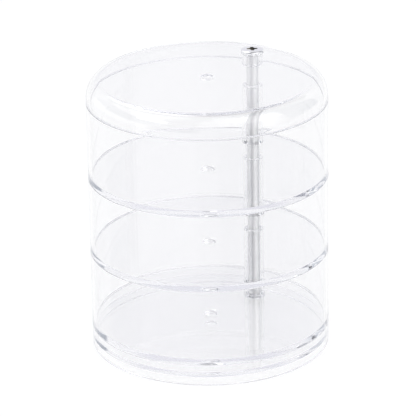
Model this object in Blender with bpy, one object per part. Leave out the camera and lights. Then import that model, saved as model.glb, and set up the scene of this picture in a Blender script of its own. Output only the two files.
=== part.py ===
"""Rotating jewelry box: a lid and three clear trays that swing about one metal post on a shallow base.

Metres, +Z up. The origin is the middle of the foot ring, on the surface the box stands on.
The post stands on the +Y side, just inside the walls.
"""

from math import cos, pi, sin

import bmesh
import bpy
from mathutils import Matrix, Vector

MM = 0.001

# Round body, shared by lid, trays and base
body_radius = 60.0 * MM
wall_thickness = 2.0 * MM
rim_edge = 0.25 * MM
running_gap = 0.3 * MM

# Trays, from the lowest up
tray_names = ("tray_bottom", "tray_middle", "tray_top")
tray_height = 39.0 * MM
tray_floor = 2.5 * MM
floor_fillet = 0.8 * MM

# Lid
lid_rim_height = 1.3 * MM
lid_top_thickness = 2.0 * MM
shoulder_width = 7.6 * MM
shoulder_height = 10.0 * MM

# Base
base_height = 10.7 * MM
foot_height = 4.2 * MM
base_plate = 2.4 * MM
foot_edge = 0.3 * MM

# Gate mark in the middle of each moulding: a dimple outside and, but for the base, a low dome inside
dimple_radius = 3.1 * MM
dimple_depth = 0.8 * MM
dome_radius = 5.2 * MM
dome_height = 0.6 * MM

# Swivel post and the bosses that run on it
post_to_wall = 14.5 * MM
boss_wall = 1.8 * MM
boss_root = 0.6 * MM
boss_below_rim = 7.5 * MM
lid_boss_length = 6.0 * MM
sleeve_radius = 3.1 * MM
sleeve_edge = 0.3 * MM
socket_sink = 0.5 * MM

# Screws
shank_radius = 2.0 * MM
shank_tip = 0.4 * MM
thread_engaged = 9.0 * MM
head_radius = 5.7 * MM
head_rim = 0.6 * MM
head_dome = 0.5 * MM
recess_reach = 2.7 * MM
recess_arm = 1.2 * MM
recess_depth = 1.0 * MM
recess_bottom_share = 0.6
recess_turn = pi / 5

# Making
cut_overrun = 1.0 * MM
merge_distance = 0.001 * MM
upward = 1.0
downward = -upward
body_steps = 64
boss_steps = 32
arc_steps = 6
small_arc_steps = 3
smooth_angle = pi / 6

# Sizes and places that follow from the others
inner_radius = body_radius - wall_thickness
pivot_offset = inner_radius - post_to_wall
boss_bore = sleeve_radius + running_gap
boss_radius = boss_bore + boss_wall
shank_hole = shank_radius + running_gap
lid_height = lid_rim_height + shoulder_height
lid_underside = lid_height - lid_top_thickness
plate_top = foot_height + base_plate
stack_pitch = tray_height + running_gap
first_tray = base_height + running_gap
lid_bottom = first_tray + len(tray_names) * stack_pitch
lid_top = lid_bottom + lid_height
socket_floor = plate_top - socket_sink
sleeve_bottom = socket_floor + running_gap
sleeve_top = lid_top


def arc(centre, radii, start, end, steps):
    """Points on an elliptical arc, both ends included, as (radius, height) pairs."""
    angles = [start + (end - start) * step / steps for step in range(steps + 1)]
    return [(centre[0] + radii[0] * cos(a), centre[1] + radii[1] * sin(a)) for a in angles]


def turned(profile, steps, axis_y=0.0, closed=False):
    """A mesh made by turning a (radius, height) outline once round an upright axis."""
    mesh = bmesh.new()
    corners = [mesh.verts.new((radius, axis_y, height)) for radius, height in profile]
    sides = list(zip(corners, corners[1:]))
    if closed:
        sides.append((corners[-1], corners[0]))
    outline = corners + [mesh.edges.new(side) for side in sides]
    bmesh.ops.spin(
        mesh, geom=outline, cent=(0.0, axis_y, 0.0), axis=(0.0, 0.0, 1.0),
        angle=2.0 * pi, steps=steps, use_merge=True,
    )
    bmesh.ops.remove_doubles(mesh, verts=mesh.verts, dist=merge_distance)
    bmesh.ops.recalc_face_normals(mesh, faces=mesh.faces)
    return mesh


def add_object(name, mesh, parent=None, height=0.0):
    """Puts a mesh into the scene as an object of its own, shaded smooth between its sharp edges."""
    data = bpy.data.meshes.new(name)
    mesh.to_mesh(data)
    mesh.free()
    data.shade_smooth()
    data.set_sharp_from_angle(angle=smooth_angle)
    piece = bpy.data.objects.new(name, data)
    bpy.context.collection.objects.link(piece)
    piece.parent = parent
    piece.location.z = height
    return piece


def combine(piece, tool, operation):
    """Cuts a tool from a piece or joins it on, and keeps the tool as a hidden guide."""
    step = piece.modifiers.new(tool.name, "BOOLEAN")
    step.operation = operation
    step.solver = "EXACT"
    step.object = tool
    tool.hide_render = True
    tool.display_type = "WIRE"


def finish(piece, colour, roughness, **settings):
    """Gives a piece a material of its own."""
    material = bpy.data.materials.new(piece.name + "_finish")
    material.use_nodes = True
    shader = material.node_tree.nodes["Principled BSDF"]
    shader.inputs["Base Color"].default_value = (*colour, 1.0)
    shader.inputs["Roughness"].default_value = roughness
    for socket, value in settings.items():
        shader.inputs[socket.replace("_", " ").title()].default_value = value
    piece.data.materials.append(material)


def finish_clear(piece):
    """Water-clear moulded plastic with a very slight cool tint."""
    finish(piece, (0.93, 0.94, 0.98), 0.03, transmission_weight=0.95)


def finish_metal(piece, brightness, roughness):
    """Plated or polished metal."""
    finish(piece, (brightness, brightness, brightness), roughness, metallic=1.0)


def gate_dimple(level, towards):
    """The dimple that the gate leaves, from its middle outwards; towards points into the plastic."""
    dent = arc((0.0, level), (dimple_radius, towards * dimple_depth), pi / 2, 0.0, small_arc_steps)
    return [(0.0, level + towards * dimple_depth)] + dent[1:]


def gate_dome(level, towards):
    """The low dome inside, opposite the dimple, from its edge inwards to the axis."""
    swell = arc((0.0, level), (dome_radius, towards * dome_height), 0.0, pi / 2, small_arc_steps)
    return swell[:-1] + [(0.0, level + towards * dome_height)]


def rim(height, towards):
    """The edge of an upright wall, from outside in; towards points from the wall to its edge."""
    eased = height - towards * rim_edge
    return [
        (body_radius, eased),
        (body_radius - rim_edge, height),
        (inner_radius + rim_edge, height),
        (inner_radius, eased),
    ]


def tray_section():
    """Half section of a tray, from the axis out along its underside and back in over its floor."""
    underside = gate_dimple(0.0, upward) + [(body_radius - rim_edge, 0.0), (body_radius, rim_edge)]
    corner_centre = (inner_radius - floor_fillet, tray_floor + floor_fillet)
    corner = arc(corner_centre, (floor_fillet, floor_fillet), 0.0, -pi / 2, small_arc_steps)
    return underside + rim(tray_height, upward) + corner + gate_dome(tray_floor, upward)


def lid_section():
    """Half section of the lid: flat top, elliptical shoulder, short rim, even wall."""
    outer_centre = (body_radius - shoulder_width, lid_rim_height)
    outside = arc(outer_centre, (shoulder_width, shoulder_height), pi / 2, 0.0, arc_steps)
    inner_width = shoulder_width - wall_thickness
    inner_height = shoulder_height - lid_top_thickness
    inner_centre = (inner_radius - inner_width, lid_underside - inner_height)
    inside = arc(inner_centre, (inner_width, inner_height), 0.0, pi / 2, arc_steps)
    top = gate_dimple(lid_height, downward) + outside
    return top + rim(0.0, downward) + inside + gate_dome(lid_underside, downward)


def base_section():
    """Half section of the base: foot ring below, plate across, rim for the lowest tray above."""
    foot = gate_dimple(foot_height, upward) + [
        (inner_radius, foot_height),
        (inner_radius, rim_edge),
        (inner_radius + rim_edge, 0.0),
        (body_radius - foot_edge, 0.0),
        (body_radius, foot_edge),
    ]
    return foot + rim(base_height, upward) + [(inner_radius, plate_top), (0.0, plate_top)]


def add_boss(piece, post, level, inside, surface, end):
    """Grows the pillar that runs on the post, from inside a plate, through its surface, to a free end."""
    away = upward if end > inside else downward
    flare_end = surface + away * boss_root
    outline = [
        (0.0, inside),
        (boss_radius + abs(flare_end - inside), inside),
        (boss_radius, flare_end),
        (boss_radius, end - away * rim_edge),
        (boss_radius - rim_edge, end),
        (0.0, end),
    ]
    pillar = add_object(piece.name + "_boss", turned(outline, boss_steps), post, level)
    combine(piece, pillar, "UNION")


def add_bore(piece, post, radius, low, high, label="bore"):
    """Cuts a round hole on the post's axis between two heights, its sides half a step round from a boss's."""
    outline = [(0.0, low), (radius, low), (radius, high), (0.0, high)]
    drill = add_object(f"{piece.name}_{label}", turned(outline, boss_steps), post)
    drill.rotation_euler.z = pi / boss_steps
    combine(piece, drill, "DIFFERENCE")


def make_tray(name, post, level):
    """One tray, its origin on the post's axis at the height of its underside."""
    tray = add_object(name, turned(tray_section(), body_steps, -pivot_offset), post, level)
    add_boss(tray, post, level, tray_floor / 2, tray_floor, tray_height - boss_below_rim)
    add_bore(tray, post, boss_bore, level - cut_overrun, level + tray_height + cut_overrun)
    finish_clear(tray)


def make_lid(post):
    """The lid, with a short boss hanging from its underside."""
    lid = add_object("lid", turned(lid_section(), body_steps, -pivot_offset), post, lid_bottom)
    top_middle = (lid_height + lid_underside) / 2
    add_boss(lid, post, lid_bottom, top_middle, lid_underside, lid_underside - lid_boss_length)
    add_bore(lid, post, boss_bore, lid_bottom - cut_overrun, lid_top + cut_overrun)
    finish_clear(lid)


def make_base(post):
    """The base, with a short boss that holds the foot of the post upright."""
    base = add_object("base", turned(base_section(), body_steps))
    add_boss(base, post, 0.0, (foot_height + plate_top) / 2, plate_top, base_height)
    add_bore(base, post, boss_bore, socket_floor, base_height + cut_overrun, "socket")
    add_bore(base, post, shank_hole, foot_height - cut_overrun, plate_top, "hole")
    finish_clear(base)


def make_sleeve(post):
    """The round metal sleeve, threaded at both ends, that the trays and the lid turn on."""
    bore = shank_hole
    ends = []
    for height, inward in ((sleeve_bottom, upward), (sleeve_top, downward)):
        eased = height + inward * sleeve_edge
        ends.append([(bore, height), (sleeve_radius - sleeve_edge, height), (sleeve_radius, eased)])
    outline = ends[0] + ends[1][::-1]
    sleeve = add_object("pivot_sleeve", turned(outline, boss_steps, closed=True), post)
    finish_metal(sleeve, 0.72, 0.22)


def cross_recess(screw):
    """Drives a four-armed recess, narrowing downwards, into the top of a screw head."""
    half_arm = recess_arm / 2
    arm_corners = [Vector((recess_reach, -half_arm, 0.0)), Vector((recess_reach, half_arm, 0.0))]
    arm_corners.append(Vector((half_arm, half_arm, 0.0)))
    turns = [Matrix.Rotation(recess_turn + quarter * pi / 2, 3, "Z") for quarter in range(4)]
    star = [turn @ corner for turn in turns for corner in arm_corners]
    head_top = head_rim + head_dome
    mesh = bmesh.new()
    rings = []
    for share, height in ((1.0, head_top + cut_overrun), (recess_bottom_share, head_top - recess_depth)):
        rings.append([mesh.verts.new((point.x * share, point.y * share, height)) for point in star])
    mesh.faces.new(rings[0])
    mesh.faces.new(rings[1][::-1])
    for this in range(len(star)):
        after = (this + 1) % len(star)
        mesh.faces.new((rings[0][after], rings[0][this], rings[1][this], rings[1][after]))
    bmesh.ops.recalc_face_normals(mesh, faces=mesh.faces)
    driver = add_object(screw.name + "_recess", mesh, screw)
    combine(screw, driver, "DIFFERENCE")


def make_screw(name, post, seat, shank_length):
    """A screw whose origin is the middle of its head's underside, head up and shank down."""
    dome = arc((0.0, head_rim), (head_radius, head_dome), 0.0, pi / 2, arc_steps)
    outline = [
        (0.0, -shank_length),
        (shank_radius - shank_tip, -shank_length),
        (shank_radius, shank_tip - shank_length),
        (shank_radius, 0.0),
        (head_radius, 0.0),
    ]
    outline += dome[:-1] + [(0.0, head_rim + head_dome)]
    screw = add_object(name, turned(outline, boss_steps), post, seat)
    cross_recess(screw)
    finish_metal(screw, 0.82, 0.1)
    return screw


def make_box():
    """Builds every piece round the post's axis."""
    post = bpy.data.objects.new("post_axis", None)
    post.location.y = pivot_offset
    bpy.context.collection.objects.link(post)
    make_base(post)
    for place, name in enumerate(tray_names):
        make_tray(name, post, first_tray + place * stack_pitch)
    make_lid(post)
    make_sleeve(post)
    top_seat = lid_top + running_gap
    make_screw("top_screw", post, top_seat, top_seat - sleeve_top + thread_engaged)
    bottom_seat = foot_height - running_gap
    lower = make_screw("bottom_screw", post, bottom_seat, sleeve_bottom + thread_engaged - bottom_seat)
    lower.rotation_euler.x = pi


for old in list(bpy.data.objects):
    bpy.data.objects.remove(old, do_unlink=True)
make_box()
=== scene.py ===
"""Looks of the rotating jewelry box: clear mouldings, a steel post and two chromed screws."""

from math import cos, pi, radians, sin

import bmesh
import bpy
from mathutils import Matrix, Vector


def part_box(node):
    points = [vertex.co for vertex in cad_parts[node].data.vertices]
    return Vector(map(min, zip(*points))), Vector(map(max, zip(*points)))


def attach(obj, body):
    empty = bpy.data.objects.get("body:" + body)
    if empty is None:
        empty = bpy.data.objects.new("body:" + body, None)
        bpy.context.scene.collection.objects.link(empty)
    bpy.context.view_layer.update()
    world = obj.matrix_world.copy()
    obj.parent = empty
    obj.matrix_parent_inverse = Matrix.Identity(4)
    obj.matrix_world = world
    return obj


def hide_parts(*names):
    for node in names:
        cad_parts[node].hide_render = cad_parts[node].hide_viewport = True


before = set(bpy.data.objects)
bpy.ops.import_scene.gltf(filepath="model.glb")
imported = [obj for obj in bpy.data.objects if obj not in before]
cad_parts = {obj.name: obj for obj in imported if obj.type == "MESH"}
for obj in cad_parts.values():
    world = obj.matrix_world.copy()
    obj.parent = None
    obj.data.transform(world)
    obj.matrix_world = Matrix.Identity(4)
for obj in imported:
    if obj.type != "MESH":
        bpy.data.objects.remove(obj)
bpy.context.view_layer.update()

MM = 0.001

# Places and sizes read from the CAD parts in model.glb
base_low, base_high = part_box("base")
lid_low, lid_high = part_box("lid")
sleeve_low, sleeve_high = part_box("pivot_sleeve")
body_radius = (base_high.x - base_low.x) / 2
sleeve_radius = (sleeve_high.x - sleeve_low.x) / 2
post_y = (sleeve_high.y + sleeve_low.y) / 2
lid_height = lid_high.z - lid_low.z
base_height = base_high.z - base_low.z
tray_names = ("tray_bottom", "tray_middle", "tray_top")

# Clear mouldings
wall_thickness = 2.0 * MM
inner_radius = body_radius - wall_thickness
rim_edge = 0.15 * MM
tray_floor = 2.5 * MM
floor_fillet = 0.15 * MM
lid_top_thickness = 2.0 * MM
shoulder_width = 7.6 * MM
shoulder_height = 10.0 * MM
foot_height = 4.2 * MM
base_plate = 2.4 * MM
foot_edge = 0.3 * MM

# Gate marks
dimple_radius = 3.1 * MM
dimple_depth = 0.9 * MM
dome_radius = 5.2 * MM
dome_height = 0.6 * MM
lid_dome_height = 0.2 * MM

# Bosses on the post
running_gap = 0.3 * MM
boss_bore = sleeve_radius + running_gap
boss_wall = 1.8 * MM
boss_radius = boss_bore + boss_wall
boss_root = 0.6 * MM
boss_below_rim = 7.5 * MM
lid_boss_length = 6.0 * MM
socket_sink = 0.5 * MM
bore_edge = 0.15 * MM

# Post and screws
sleeve_edge = 0.3 * MM
shank_radius = 2.0 * MM
shank_hole = shank_radius + running_gap
shank_tip = 0.4 * MM
thread_pitch = 0.7 * MM
thread_depth = 0.33 * MM
head_radius = 5.7 * MM
head_rim = 0.6 * MM
head_dome = 0.5 * MM
head_edge = 0.2 * MM
recess_reach = 2.7 * MM
recess_arm = 1.3 * MM
recess_root = 1.1 * MM
recess_depth = 1.0 * MM
recess_bottom_share = 0.6
recess_mouth_share = 0.25
recess_turn = pi / 5
recess_arms = 4
recess_skin = 0.02 * MM
# Name of the face mark that carries the painted shade down in the recess
recess_shade_mark = "painted_shade_in_recess"

# Fineness of the meshes
body_steps = 240
post_steps = 96
shoulder_steps = 24
edge_steps = 5
dimple_steps = 10
dome_steps = 16
thread_steps = 48
thread_rows = 12
same_level = 0.001 * MM
weld_distance = 0.0005 * MM
sharp_angle = radians(40)

# Clear plastic: colour straight through, colour of the painted shade at the very edge, index,
# tint of the thickness, and the light that it lets through to cast a shadow
plastic_colour = (0.977, 0.977, 0.98, 1.0)
plastic_edge_shade_colour = (0.45, 0.47, 0.52, 1.0)
plastic_edge_shade_power = 12.0
plastic_index = 1.49
plastic_tint = (0.61, 0.615, 0.73, 1.0)
plastic_tint_density = 2.2
plastic_shadow_colour = (0.97, 0.97, 0.975, 1.0)

# Metals: colours, and how far the turned finish draws a reflection out along the post
steel_colour = (0.96, 0.96, 0.965, 1.0)
steel_draw = 0.92
steel_draw_turn = 0.25
chrome_colour = (0.86, 0.86, 0.88, 1.0)
# Painted shade: a near-black brown laid on the faces down in the screws' recess
recess_painted_shade_colour = (0.08, 0.072, 0.055, 1.0)

# Handling marks of each finish: clean roughness, marked roughness, closeness of the clouds, and
# depth of the hairlines
plastic_marks = (0.0, 0.012, 45.0, 0.0002 * MM)
steel_marks = (0.42, 0.50, 120.0, 0.0004 * MM)
chrome_marks = (0.05, 0.12, 200.0, 0.0004 * MM)
cloud_range = (0.48, 0.72)
hairline_range = (0.7, 0.8)
hairline_turn = (0.3, 0.5, 0.7)
hairline_closeness = (90.0, 90.0, 1500.0)

# Table, in metres, with the share and strength of the white that it shows to the camera
white = (1.0, 1.0, 1.0, 1.0)
table_half = 3.0
table_level = -0.1 * MM
table_colour = (0.88, 0.88, 0.88, 1.0)
table_white_share = 0.7
table_white_strength = 1.096

# Camera, as the photograph was taken
lens_mm = 269.08
camera_azimuth = radians(32.2)
camera_elevation = radians(21.856)
camera_roll = 0.0170028
camera_distance = 1.55945
aim_height = 69.87 * MM
aim_right = 0.41 * MM
aim_up = -0.288 * MM

# Room, from low to overhead: degrees above the table and colour
overhead_colours = (
    (24, (0.99, 0.99, 1.0, 1.0)),
    (40, (1.02, 1.02, 1.03, 1.0)),
    (58, (1.02, 1.02, 1.03, 1.0)),
    (70, (0.45, 0.45, 0.47, 1.0)),
)

# Brighter and dimmer parts of the room, each laid over those before it: degrees to the right of the
# camera's side, degrees from there up to which it is full and beyond which it is gone, lowest and
# highest degrees above the table, and colour; above and below, each fades over a soft edge
room_parts = (
    (-98, 32, 42, -80, 80, (1.4, 1.4, 1.4, 1.0)),
    (43, 26, 36, -80, 80, (1.5, 1.5, 1.5, 1.0)),
    (-32, 16, 27, -80, 80, (0.25, 0.26, 0.31, 1.0)),
    (104, 20, 24, -80, 80, (0.33, 0.37, 0.43, 1.0)),
    (-76, 30, 38, 14, 34, (0.50, 0.54, 0.60, 1.0)),
    (-120, 8, 20, 14, 34, (0.70, 0.73, 0.78, 1.0)),
    (180, 20, 34, 12, 29, (0.885, 0.885, 0.93, 1.0)),
    (180, 34, 48, 36, 80, (0.45, 0.45, 0.47, 1.0)),
    (-166, 8, 14, 34, 46, (2.4, 2.4, 2.4, 1.0)),
)
soft_edge = 4

# Soft boxes: name, degrees to the right of the camera's side, degrees above the table, distance,
# width and height in metres, and power in watts
soft_boxes = (
    ("left_soft_box", -60, 42, 1.1, 0.5, 0.22, 1.0),
    ("right_soft_box", 60, 50, 1.3, 0.8, 0.8, 2.4),
)

# Turns of light that are followed
inside_bounces = 128
straight_bounces = 64


# Outlines, as (radius, height) points
def arc(centre, radii, start, end, steps):
    """Points on an elliptical arc, both ends included."""
    angles = [start + (end - start) * step / steps for step in range(steps + 1)]
    return [(centre[0] + radii[0] * cos(a), centre[1] + radii[1] * sin(a)) for a in angles]


def quarter(centre, radius, start, turn):
    """A quarter round of an edge or a corner; turn is +1 or -1."""
    return arc(centre, (radius, radius), start, start + turn * pi / 2, edge_steps)


def top_rim(height):
    """The rounded top of a wall, from its outside over to its inside."""
    level = height - rim_edge
    outside = quarter((body_radius - rim_edge, level), rim_edge, 0.0, 1)
    inside = quarter((inner_radius + rim_edge, level), rim_edge, pi / 2, 1)
    return outside + inside


def bottom_rim():
    """The rounded bottom of a wall, from its outside over to its inside."""
    outside = quarter((body_radius - rim_edge, rim_edge), rim_edge, 0.0, -1)
    inside = quarter((inner_radius + rim_edge, rim_edge), rim_edge, -pi / 2, -1)
    return outside + inside


def dimple(level, towards):
    """The round dent that the gate leaves, from its rim to its middle."""
    dent = arc((0.0, level), (dimple_radius, towards * dimple_depth), 0.0, pi / 2, dimple_steps)
    return dent[:-1] + [(0.0, level + towards * dimple_depth)]


def dome(level, rise):
    """The low swelling inside, opposite the dimple, from its foot to its middle."""
    shares = [1 - step / dome_steps for step in range(dome_steps + 1)]
    return [(dome_radius * share, level + rise * (1 + cos(pi * share)) / 2) for share in shares]


def boss(plate, end, underside):
    """A pillar round the post: root fillet, side, rounded end and bore back through the plate."""
    up = 1 if end > plate else -1
    root = arc((boss_radius + boss_root, plate + up * boss_root), (boss_root, up * boss_root),
               -pi / 2, -pi, edge_steps)
    lip = arc((boss_radius - rim_edge, end - up * rim_edge), (rim_edge, up * rim_edge),
              0.0, pi / 2, edge_steps)
    mouth = [(boss_bore + bore_edge, end), (boss_bore, end - up * bore_edge)]
    far_mouth = [(boss_bore, underside + up * bore_edge), (boss_bore + bore_edge, underside)]
    return root + lip + mouth + far_mouth


# Meshes
def lathe(mesh, outline, steps, axis_y=0.0):
    """Adds the surface that an outline sweeps round an upright axis."""
    rings = []
    for radius, height in outline:
        turns = range(steps if radius else 1)
        places = [2.0 * pi * turn / steps for turn in turns]
        rings.append([
            mesh.verts.new((radius * cos(a), axis_y + radius * sin(a), height)) for a in places
        ])
    for low, high in zip(rings, rings[1:]):
        for turn in range(steps):
            after = (turn + 1) % steps
            corners = [low[turn % len(low)], low[after % len(low)],
                       high[after % len(high)], high[turn % len(high)]]
            # A ring on the axis is one point, which may stand in a face only once
            face = mesh.faces.new(list(dict.fromkeys(corners)))
            face.smooth = True


def fill_plate(mesh, level):
    """Closes a flat plate between all the open rings at one height."""
    edges = [
        edge for edge in mesh.edges
        if edge.is_boundary and all(abs(v.co.z - level) < same_level for v in edge.verts)
    ]
    made = bmesh.ops.triangle_fill(mesh, edges=edges, use_beauty=True, use_dissolve=False)
    for face in made["geom"]:
        if isinstance(face, bmesh.types.BMFace):
            face.smooth = False


def add_piece(name, mesh, body, material, replaced):
    """Puts a mesh into the scene as a piece that rides on a body in place of CAD nodes."""
    bmesh.ops.remove_doubles(mesh, verts=mesh.verts, dist=weld_distance)
    bmesh.ops.recalc_face_normals(mesh, faces=mesh.faces)
    data = bpy.data.meshes.new(name)
    mesh.to_mesh(data)
    mesh.free()
    data.set_sharp_from_angle(angle=sharp_angle)
    data.materials.append(material)
    piece = bpy.data.objects.new(name, data)
    bpy.context.scene.collection.objects.link(piece)
    even = piece.modifiers.new("even_shading", "WEIGHTED_NORMAL")
    even.keep_sharp = True
    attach(piece, body)
    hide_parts(*replaced)


def place(mesh, height):
    """Lifts a finished mesh to its level."""
    bmesh.ops.translate(mesh, verts=mesh.verts, vec=(0.0, 0.0, height))


def make_tray(name, material):
    """A tray: flat floor, upright wall, boss, gate marks."""
    low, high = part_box(name)
    height = high.z - low.z
    mesh = bmesh.new()
    outside = [(body_radius - rim_edge, 0.0)] + quarter(
        (body_radius - rim_edge, rim_edge), rim_edge, -pi / 2, 1)[1:]
    corner = quarter((inner_radius - floor_fillet, tray_floor + floor_fillet),
                     floor_fillet, 0.0, -1)
    lathe(mesh, outside + top_rim(height) + corner, body_steps)
    lathe(mesh, dimple(0.0, 1), post_steps)
    lathe(mesh, dome(tray_floor, dome_height), post_steps)
    lathe(mesh, boss(tray_floor, height - boss_below_rim, 0.0), post_steps, post_y)
    fill_plate(mesh, 0.0)
    fill_plate(mesh, tray_floor)
    place(mesh, low.z)
    add_piece(name + "_moulding", mesh, name, material, [name])


def make_lid(material):
    """The lid: flat top, elliptical shoulder, short rim, hanging boss, gate marks."""
    mesh = bmesh.new()
    underside = lid_height - lid_top_thickness
    rim_height = lid_height - shoulder_height
    outside = arc((body_radius - shoulder_width, rim_height), (shoulder_width, shoulder_height),
                  pi / 2, 0.0, shoulder_steps)
    inner_width = shoulder_width - wall_thickness
    inner_height = shoulder_height - lid_top_thickness
    inside = arc((inner_radius - inner_width, underside - inner_height),
                 (inner_width, inner_height), 0.0, pi / 2, shoulder_steps)
    lathe(mesh, outside + bottom_rim() + inside, body_steps)
    lathe(mesh, dimple(lid_height, -1), post_steps)
    lathe(mesh, dome(underside, -lid_dome_height), post_steps)
    lathe(mesh, boss(underside, underside - lid_boss_length, lid_height), post_steps, post_y)
    fill_plate(mesh, underside)
    fill_plate(mesh, lid_height)
    place(mesh, lid_low.z)
    add_piece("lid_moulding", mesh, "lid", material, ["lid"])


def make_base(material):
    """The base: foot ring, plate, rim, and a short boss with the sleeve's socket."""
    mesh = bmesh.new()
    plate_top = foot_height + base_plate
    foot = [(inner_radius, foot_height), (inner_radius, rim_edge), (inner_radius + rim_edge, 0.0)]
    foot += quarter((body_radius - foot_edge, foot_edge), foot_edge, -pi / 2, 1)
    lathe(mesh, foot + top_rim(base_height) + [(inner_radius, plate_top)], body_steps)
    socket_floor = plate_top - socket_sink
    pillar = boss(plate_top, base_height, socket_floor)[:-2]
    socket = [(boss_bore, socket_floor), (shank_hole, socket_floor), (shank_hole, foot_height)]
    lathe(mesh, pillar + socket, post_steps, post_y)
    lathe(mesh, dimple(foot_height, 1), post_steps)
    fill_plate(mesh, foot_height)
    fill_plate(mesh, plate_top)
    place(mesh, base_low.z)
    add_piece("base_moulding", mesh, "base", material, ["base"])


def make_sleeve(material):
    """The polished tube that everything turns on."""
    bore = shank_hole
    low, high = sleeve_low.z, sleeve_high.z
    wall = sleeve_radius - sleeve_edge
    foot = quarter((wall, low + sleeve_edge), sleeve_edge, -pi / 2, 1)
    head = quarter((wall, high - sleeve_edge), sleeve_edge, 0.0, 1)
    mesh = bmesh.new()
    lathe(mesh, [(bore, low)] + foot + head + [(bore, high), (bore, low)], post_steps, post_y)
    add_piece("pivot_tube", mesh, "base", material, ["pivot_sleeve"])


def threaded_shank(mesh, length):
    """Adds the shank, from its tip up to the head, with a rolled thread round it."""
    rows = round(length / thread_pitch * thread_rows)
    rings = []
    for row in range(rows + 1):
        height = -length * (1 - row / rows)
        fade = min(1.0, (length + height) / (2 * shank_tip))
        ring = []
        for turn in range(thread_steps):
            phase = (height / thread_pitch - turn / thread_steps) % 1.0
            groove = thread_depth * (1 - abs(2 * phase - 1)) * fade
            angle = 2.0 * pi * turn / thread_steps
            radius = shank_radius - shank_tip * (1 - fade) - groove
            ring.append(mesh.verts.new((radius * cos(angle), radius * sin(angle), height)))
        rings.append(ring)
    for low, high in zip(rings, rings[1:]):
        for turn in range(thread_steps):
            after = (turn + 1) % thread_steps
            mesh.faces.new((low[turn], low[after], high[after], high[turn])).smooth = True
    mesh.faces.new(rings[0][::-1])


def recess_cutter():
    """The driver's shape: four arms that narrow outwards and downwards."""
    half_arm = recess_arm / 2
    arm = [Vector((recess_reach, -half_arm, 0)), Vector((recess_reach, half_arm, 0)),
           Vector((recess_root, recess_root, 0))]
    angles = [recess_turn + number * 2.0 * pi / recess_arms for number in range(recess_arms)]
    turns = [Matrix.Rotation(angle, 3, "Z") for angle in angles]
    star = [turn @ corner for turn in turns for corner in arm]
    top = head_rim + head_dome
    mouth = top - recess_depth * recess_mouth_share
    levels = ((1.0, top + recess_depth), (1.0, mouth), (recess_bottom_share, top - recess_depth))
    mesh = bmesh.new()
    rings = [
        [mesh.verts.new((p.x * share, p.y * share, height)) for p in star]
        for share, height in levels
    ]
    mesh.faces.new(rings[0])
    mesh.faces.new(rings[-1][::-1])
    for upper, lower in zip(rings, rings[1:]):
        for this in range(len(star)):
            after = (this + 1) % len(star)
            mesh.faces.new((upper[after], upper[this], lower[this], lower[after]))
    bmesh.ops.recalc_face_normals(mesh, faces=mesh.faces)
    data = bpy.data.meshes.new("recess")
    mesh.to_mesh(data)
    mesh.free()
    return bpy.data.objects.new("recess", data)


def cut_recess(mesh):
    """Gives back a screw's mesh with the driver's shape cut out of its head."""
    data = bpy.data.meshes.new("blank")
    mesh.to_mesh(data)
    mesh.free()
    blank = bpy.data.objects.new("blank", data)
    cutter = recess_cutter()
    for helper in (blank, cutter):
        bpy.context.scene.collection.objects.link(helper)
    cut = blank.modifiers.new("recess", "BOOLEAN")
    cut.operation = "DIFFERENCE"
    cut.solver = "EXACT"
    cut.object = cutter
    evaluated = blank.evaluated_get(bpy.context.evaluated_depsgraph_get())
    result = bmesh.new()
    result.from_mesh(evaluated.to_mesh())
    evaluated.to_mesh_clear()
    for helper in (blank, cutter):
        bpy.data.objects.remove(helper, do_unlink=True)
    # Faces down in the recess get the mark for painted shade, and are shaded flat
    inside = result.faces.layers.float.new(recess_shade_mark)
    bottom = head_rim + head_dome - recess_depth - same_level
    for face in result.faces:
        middle = face.calc_center_median()
        reach = middle.xy.length
        crown = head_rim + head_dome * (1 - (reach / head_radius) ** 2) ** 0.5
        if reach < recess_reach and bottom < middle.z < crown - recess_skin:
            face[inside] = 1.0
            face.smooth = False
    return result


def make_screw(node, upside_down, material):
    """A round-headed screw with a cross recess, made with its head's underside at the origin."""
    low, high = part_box(node)
    head_height = head_rim + head_dome
    mesh = bmesh.new()
    threaded_shank(mesh, high.z - low.z - head_height)
    outline = [(shank_radius - thread_depth, 0.0), (head_radius - head_edge, 0.0)]
    outline += quarter((head_radius - head_edge, head_edge), head_edge, -pi / 2, 1)[1:]
    crown = arc((0.0, head_rim), (head_radius, head_dome), 0.0, pi / 2, shoulder_steps)
    outline += crown[:-1] + [(0.0, head_height)]
    lathe(mesh, outline, post_steps)
    bmesh.ops.remove_doubles(mesh, verts=mesh.verts, dist=weld_distance)
    open_edges = [edge for edge in mesh.edges if edge.is_boundary]
    bmesh.ops.triangle_fill(mesh, edges=open_edges, use_beauty=True)
    bmesh.ops.recalc_face_normals(mesh, faces=mesh.faces)
    mesh = cut_recess(mesh)
    turn = Matrix.Rotation(pi if upside_down else 0.0, 4, "X")
    seat = low.z + head_height if upside_down else high.z - head_height
    seated = Matrix.Translation((0.0, post_y, seat)) @ turn
    bmesh.ops.transform(mesh, matrix=seated, verts=mesh.verts)
    add_piece(node + "_finished", mesh, "base", material, [node])


# Materials
def add_node(tree, kind, **values):
    """Adds a node and sets its plain inputs by name."""
    node = tree.nodes.new(kind)
    for socket, value in values.items():
        node.inputs[socket.replace("_", " ")].default_value = value
    return node


def add_math(tree, operation, first, second):
    """Adds a reckoning with a socket and a second socket or plain value, and gives its result."""
    node = tree.nodes.new("ShaderNodeMath")
    node.operation = operation
    tree.links.new(first, node.inputs[0])
    if isinstance(second, float):
        node.inputs[1].default_value = second
    else:
        tree.links.new(second, node.inputs[1])
    return node.outputs[0]


def add_blend(tree, share, colour, other):
    """Goes over from a colour, plain or a socket, to a plain one by a share."""
    mix = tree.nodes.new("ShaderNodeMix")
    mix.data_type = "RGBA"
    if isinstance(colour, tuple):
        mix.inputs["A"].default_value = colour
    else:
        tree.links.new(colour, mix.inputs["A"])
    mix.inputs["B"].default_value = other
    tree.links.new(share, mix.inputs["Factor"])
    return mix.outputs["Result"]


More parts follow.
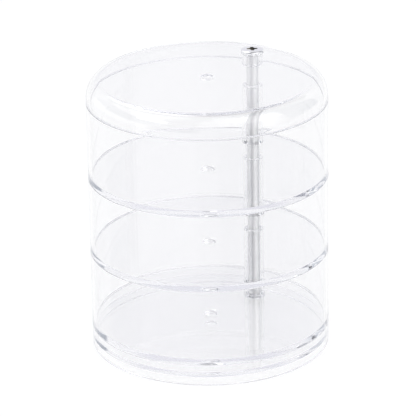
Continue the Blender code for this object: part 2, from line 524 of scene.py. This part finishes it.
def add_shader_mix(tree, share, shader, other):
    """Goes over from one shader to another by a share."""
    mix = tree.nodes.new("ShaderNodeMixShader")
    tree.links.new(share, mix.inputs["Fac"])
    tree.links.new(shader, mix.inputs[1])
    tree.links.new(other, mix.inputs[2])
    return mix.outputs["Shader"]


def new_material(name):
    """A material, its node tree and its shader."""
    material = bpy.data.materials.new(name)
    material.use_nodes = True
    return material, material.node_tree, material.node_tree.nodes["Principled BSDF"]


def handling_marks():
    """Node group: cloudy finger marks and fine hairlines, as a roughness and a height."""
    tree = bpy.data.node_groups.new("handling_marks", "ShaderNodeTree")
    for name in ("Clean Roughness", "Marked Roughness", "Scale"):
        tree.interface.new_socket(name, in_out="INPUT", socket_type="NodeSocketFloat")
    for name in ("Roughness", "Height"):
        tree.interface.new_socket(name, in_out="OUTPUT", socket_type="NodeSocketFloat")
    given = tree.nodes.new("NodeGroupInput")
    result = tree.nodes.new("NodeGroupOutput")
    position = tree.nodes.new("ShaderNodeTexCoord")
    clouds = add_node(tree, "ShaderNodeTexNoise", Detail=3.0, Roughness=0.6)
    tree.links.new(position.outputs["Object"], clouds.inputs["Vector"])
    tree.links.new(given.outputs["Scale"], clouds.inputs["Scale"])
    spread = add_node(tree, "ShaderNodeMapRange", From_Min=cloud_range[0], From_Max=cloud_range[1])
    tree.links.new(clouds.outputs["Fac"], spread.inputs["Value"])
    tree.links.new(given.outputs["Clean Roughness"], spread.inputs["To Min"])
    tree.links.new(given.outputs["Marked Roughness"], spread.inputs["To Max"])
    tree.links.new(spread.outputs["Result"], result.inputs["Roughness"])
    tilt = add_node(tree, "ShaderNodeMapping", Rotation=hairline_turn, Scale=hairline_closeness)
    tree.links.new(position.outputs["Object"], tilt.inputs["Vector"])
    hairlines = add_node(tree, "ShaderNodeTexNoise", Scale=1.0, Detail=1.0)
    tree.links.new(tilt.outputs["Vector"], hairlines.inputs["Vector"])
    peaks = add_node(tree, "ShaderNodeMapRange",
                     From_Min=hairline_range[0], From_Max=hairline_range[1])
    tree.links.new(hairlines.outputs["Fac"], peaks.inputs["Value"])
    tree.links.new(peaks.outputs["Result"], result.inputs["Height"])
    return tree


def add_marks(tree, shader, marks, clean, marked, scale, hairline_depth):
    """Leads the marks into a shader's roughness and normal."""
    group = tree.nodes.new("ShaderNodeGroup")
    group.node_tree = marks
    group.inputs["Clean Roughness"].default_value = clean
    group.inputs["Marked Roughness"].default_value = marked
    group.inputs["Scale"].default_value = scale
    tree.links.new(group.outputs["Roughness"], shader.inputs["Roughness"])
    bump = add_node(tree, "ShaderNodeBump", Strength=1.0, Distance=hairline_depth)
    tree.links.new(group.outputs["Height"], bump.inputs["Height"])
    tree.links.new(bump.outputs["Normal"], shader.inputs["Normal"])


def clear_plastic(marks):
    """Water-clear styrene with the slightest cool tint in its thickness, and painted shade where it
    is seen edge-on.
    """
    material, tree, shader = new_material("clear_plastic")
    # Painted shade: where the surface is seen edge-on, its colour goes over to a dark blue-grey
    glancing = add_node(tree, "ShaderNodeLayerWeight", Blend=0.5)
    edge = add_math(tree, "POWER", glancing.outputs["Facing"], plastic_edge_shade_power)
    colour = add_blend(tree, edge, plastic_colour, plastic_edge_shade_colour)
    tree.links.new(colour, shader.inputs["Base Color"])
    shader.inputs["IOR"].default_value = plastic_index
    shader.inputs["Transmission Weight"].default_value = 1.0
    add_marks(tree, shader, marks, *plastic_marks)
    tint = add_node(tree, "ShaderNodeVolumeAbsorption",
                    Color=plastic_tint, Density=plastic_tint_density)
    lit_through = add_node(tree, "ShaderNodeBsdfTransparent", Color=plastic_shadow_colour)
    path = tree.nodes.new("ShaderNodeLightPath")
    either = add_math(tree, "MAXIMUM",
                      path.outputs["Is Shadow Ray"], path.outputs["Is Diffuse Ray"])
    surface = add_shader_mix(tree, either, shader.outputs["BSDF"], lit_through.outputs["BSDF"])
    output = tree.nodes["Material Output"]
    tree.links.new(surface, output.inputs["Surface"])
    tree.links.new(tint.outputs["Volume"], output.inputs["Volume"])
    return material


def polished_steel(marks):
    """Tube polished in the lathe, which draws its reflections out along it into stripes."""
    material, tree, shader = new_material("polished_steel")
    shader.inputs["Base Color"].default_value = steel_colour
    shader.inputs["Metallic"].default_value = 1.0
    shader.inputs["Anisotropic"].default_value = steel_draw
    shader.inputs["Anisotropic Rotation"].default_value = steel_draw_turn
    add_marks(tree, shader, marks, *steel_marks)
    around = tree.nodes.new("ShaderNodeTangent")
    around.direction_type = "RADIAL"
    around.axis = "Z"
    tree.links.new(around.outputs["Tangent"], shader.inputs["Tangent"])
    return material


def chrome(marks):
    """Bright plating on the screws, with painted shade down in the recess."""
    material, tree, shader = new_material("chrome")
    shader.inputs["Metallic"].default_value = 1.0
    add_marks(tree, shader, marks, *chrome_marks)
    # Painted shade: the marked recess faces take the dark colour in place of the plating
    inside = tree.nodes.new("ShaderNodeAttribute")
    inside.attribute_name = recess_shade_mark
    colour = add_blend(tree, inside.outputs["Fac"], chrome_colour, recess_painted_shade_colour)
    tree.links.new(colour, shader.inputs["Base Color"])
    return material


# Surroundings
def seen_directly(tree):
    """A value of 1 for rays from the camera or sent on by metal or plastic, 0 for others."""
    path = tree.nodes.new("ShaderNodeLightPath")
    seen = add_math(tree, "MAXIMUM", path.outputs["Is Camera Ray"], path.outputs["Is Glossy Ray"])
    return add_math(tree, "MAXIMUM", seen, path.outputs["Is Transmission Ray"])


def make_table():
    """A wide white table top that keeps a faint shadow and is open to a look from below."""
    corners = [(-table_half, -table_half), (table_half, -table_half),
               (table_half, table_half), (-table_half, table_half)]
    data = bpy.data.meshes.new("table")
    data.from_pydata([(x, y, table_level) for x, y in corners], [], [(0, 1, 2, 3)])
    table = bpy.data.objects.new("table", data)
    bpy.context.scene.collection.objects.link(table)
    material = bpy.data.materials.new("table_white")
    material.use_nodes = True
    tree = material.node_tree
    tree.nodes.clear()
    output = tree.nodes.new("ShaderNodeOutputMaterial")
    lit = add_node(tree, "ShaderNodeBsdfDiffuse", Color=table_colour)
    shown = add_node(tree, "ShaderNodeEmission", Color=white, Strength=table_white_strength)
    share = add_math(tree, "MULTIPLY", seen_directly(tree), table_white_share)
    top = add_shader_mix(tree, share, lit.outputs["BSDF"], shown.outputs["Emission"])
    side = tree.nodes.new("ShaderNodeNewGeometry")
    nothing = tree.nodes.new("ShaderNodeBsdfTransparent")
    surface = add_shader_mix(tree, side.outputs["Backfacing"], top, nothing.outputs["BSDF"])
    tree.links.new(surface, output.inputs["Surface"])
    data.materials.append(material)


def side_direction(azimuth):
    """The level direction at an angle, positive to the right, from the camera's side."""
    return (sin(camera_azimuth + azimuth), -cos(camera_azimuth + azimuth), 0.0)


def add_band(tree, level_direction, azimuth, full_within, none_beyond):
    """A value of 1 within an angle of one level direction, 0 beyond a wider one."""
    towards = tree.nodes.new("ShaderNodeVectorMath")
    towards.operation = "DOT_PRODUCT"
    towards.inputs[1].default_value = side_direction(radians(azimuth))
    tree.links.new(level_direction, towards.inputs[0])
    band = add_node(tree, "ShaderNodeMapRange", From_Min=cos(radians(none_beyond)),
                    From_Max=cos(radians(full_within)))
    band.interpolation_type = "SMOOTHSTEP"
    tree.links.new(towards.outputs["Value"], band.inputs["Value"])
    return band.outputs["Result"]


def add_level_range(tree, height, none_at, full_at):
    """A value that goes from 0 to 1 between two angles above the table."""
    level = add_node(tree, "ShaderNodeMapRange",
                     From_Min=sin(radians(none_at)), From_Max=sin(radians(full_at)))
    level.interpolation_type = "SMOOTHSTEP"
    tree.links.new(height, level.inputs["Value"])
    return level.outputs["Result"]


def make_world():
    """A pale room with bright and dim parts round the camera, white where the camera looks."""
    world = bpy.data.worlds.new("studio")
    bpy.context.scene.world = world
    world.use_nodes = True
    tree = world.node_tree
    background = tree.nodes["Background"]
    direction = tree.nodes.new("ShaderNodeTexCoord")
    levelled = tree.nodes.new("ShaderNodeVectorMath")
    levelled.operation = "MULTIPLY"
    levelled.inputs[1].default_value = (1.0, 1.0, 0.0)
    tree.links.new(direction.outputs["Generated"], levelled.inputs[0])
    unit = tree.nodes.new("ShaderNodeVectorMath")
    unit.operation = "NORMALIZE"
    tree.links.new(levelled.outputs["Vector"], unit.inputs[0])
    height = tree.nodes.new("ShaderNodeSeparateXYZ")
    tree.links.new(direction.outputs["Generated"], height.inputs[0])
    overhead = tree.nodes.new("ShaderNodeValToRGB")
    stops = overhead.color_ramp.elements
    for number, (degrees, colour) in enumerate(overhead_colours):
        position = sin(radians(degrees))
        stop = stops[number] if number < len(stops) else stops.new(position)
        stop.position = position
        stop.color = colour
    tree.links.new(height.outputs["Z"], overhead.inputs["Fac"])
    room = overhead.outputs["Color"]
    for azimuth, full_within, none_beyond, lowest, highest, colour in room_parts:
        band = add_band(tree, unit.outputs["Vector"], azimuth, full_within, none_beyond)
        over = add_level_range(tree, height.outputs["Z"], lowest - soft_edge, lowest)
        under = add_level_range(tree, height.outputs["Z"], highest + soft_edge, highest)
        share = add_math(tree, "MULTIPLY", band, add_math(tree, "MULTIPLY", over, under))
        room = add_blend(tree, share, room, colour)
    path = tree.nodes.new("ShaderNodeLightPath")
    seen = add_blend(tree, path.outputs["Is Camera Ray"], room, white)
    tree.links.new(seen, background.inputs["Color"])
    background.inputs["Strength"].default_value = 1.0


def make_lamp(name, side, elevation, distance, width, height, power):
    """A soft box that faces the object."""
    azimuth = camera_azimuth + radians(side)
    level = cos(radians(elevation))
    away = Vector((sin(azimuth) * level, -cos(azimuth) * level, sin(radians(elevation))))
    data = bpy.data.lights.new(name, "AREA")
    data.shape = "RECTANGLE"
    data.size = width
    data.size_y = height
    data.energy = power
    lamp = bpy.data.objects.new(name, data)
    lamp.location = away * distance
    lamp.rotation_euler = away.to_track_quat("Z", "Y").to_euler()
    bpy.context.scene.collection.objects.link(lamp)


def make_camera():
    """The camera at the photograph's height and side, with its long lens and its slight tilt."""
    a, e, r = camera_azimuth, camera_elevation, camera_roll
    back = Vector((sin(a) * cos(e), -cos(a) * cos(e), sin(e)))
    right = Vector((cos(a), sin(a), 0.0))
    up = back.cross(right)
    centred = Vector((0.0, 0.0, aim_height)) + back * camera_distance
    turned_right = right * cos(r) - up * sin(r)
    turned_up = right * sin(r) + up * cos(r)
    matrix = Matrix((turned_right, turned_up, back)).transposed().to_4x4()
    matrix.translation = centred - right * aim_right - up * aim_up
    data = bpy.data.cameras.new("camera")
    data.lens = lens_mm
    camera = bpy.data.objects.new("camera", data)
    camera.matrix_world = matrix
    bpy.context.scene.collection.objects.link(camera)
    bpy.context.scene.camera = camera


def make_scene():
    """Puts everything together."""
    marks = handling_marks()
    plastic = clear_plastic(marks)
    steel = polished_steel(marks)
    plating = chrome(marks)
    make_base(plastic)
    for name in tray_names:
        make_tray(name, plastic)
    make_lid(plastic)
    make_sleeve(steel)
    make_screw("top_screw", False, plating)
    make_screw("bottom_screw", True, plating)
    make_table()
    make_world()
    for soft_box in soft_boxes:
        make_lamp(*soft_box)
    make_camera()
    scene = bpy.context.scene
    scene.view_settings.view_transform = "Standard"
    scene.cycles.max_bounces = inside_bounces
    scene.cycles.transmission_bounces = inside_bounces
    scene.cycles.glossy_bounces = inside_bounces
    scene.cycles.transparent_max_bounces = straight_bounces
    scene.cycles.caustics_reflective = False
    scene.cycles.caustics_refractive = False


make_scene()
